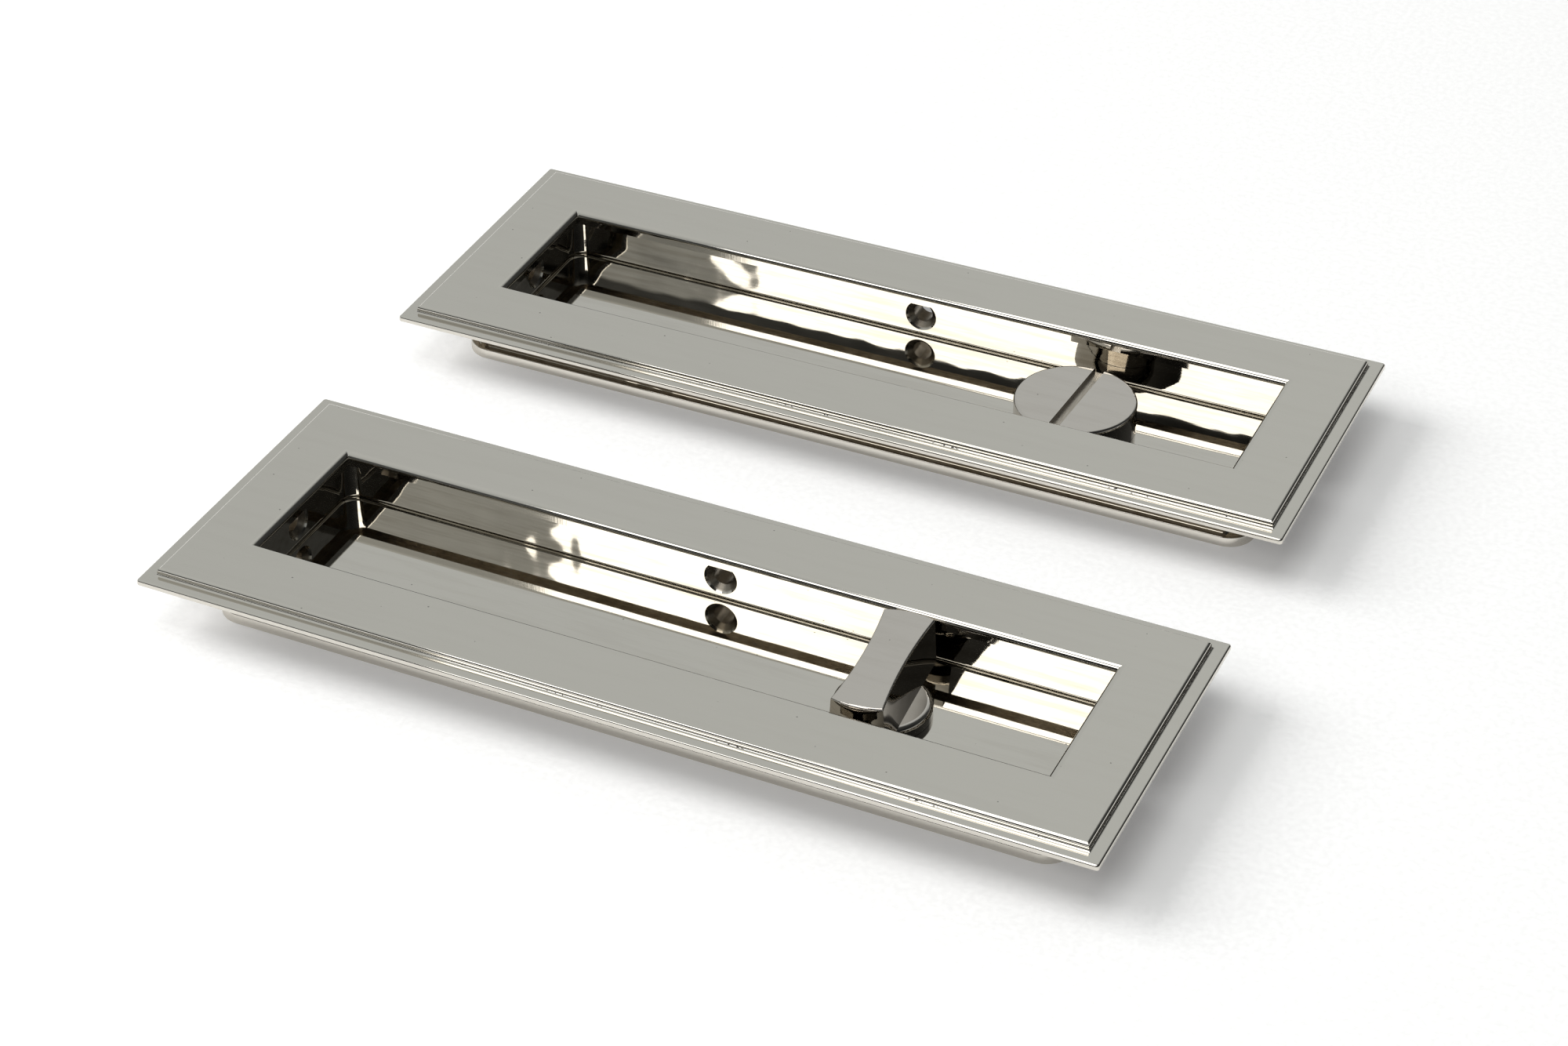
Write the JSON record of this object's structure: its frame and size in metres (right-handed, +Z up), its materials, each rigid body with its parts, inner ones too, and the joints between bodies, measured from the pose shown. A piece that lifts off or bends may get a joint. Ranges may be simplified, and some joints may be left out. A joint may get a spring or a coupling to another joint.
{
  "type": "rectangular flush pull privacy set",
  "caption": "Rectangular flush pulls for a sliding door: stepped face plates round finger recesses, a waisted thumbturn in the inside pull and a slotted coin release in the outside pull.",
  "frame": {"origin": "bottom centre of the bounding box of the set, on the surface that the base plates lie on, midway between the pulls", "axes": "+X along the pulls towards the end with the hubs, +Y from the thumbturn pull to the coin release pull, +Z up, out of the faces"},
  "size_m": [0.1774, 0.1554, 0.0133],
  "materials": {
    "polished_nickel": "polished",
    "plain_steel": "satin"
  },
  "bodies": {
    "pulls": {"turn_face_plate": "polished_nickel", "turn_recess_frame": "polished_nickel", "turn_base_plate": "polished_nickel", "release_face_plate": "polished_nickel", "release_recess_frame": "polished_nickel", "release_base_plate": "polished_nickel", "turn_assembly_screws": "plain_steel", "release_assembly_screws": "plain_steel"},
    "turn": {"thumbturn": "polished_nickel", "turn_spring_washer": "plain_steel", "turn_retaining_ring": "plain_steel"},
    "release": {"coin_release": "polished_nickel", "release_spring_washer": "plain_steel", "release_retaining_ring": "plain_steel"}
  },
  "joints": [
    {"name": "thumbturn_turn", "type": "hinge", "parent": "pulls", "child": "turn", "pos_m": [0.03903, -0.04671, 0.00219], "axis": [0, 0, 1], "range_deg": [-90, 90]},
    {"name": "coin_release_turn", "type": "hinge", "parent": "pulls", "child": "release", "pos_m": [0.03692, 0.0463, 0.00219], "axis": [0, 0, 1], "range_deg": [-90, 90]}
  ]
}
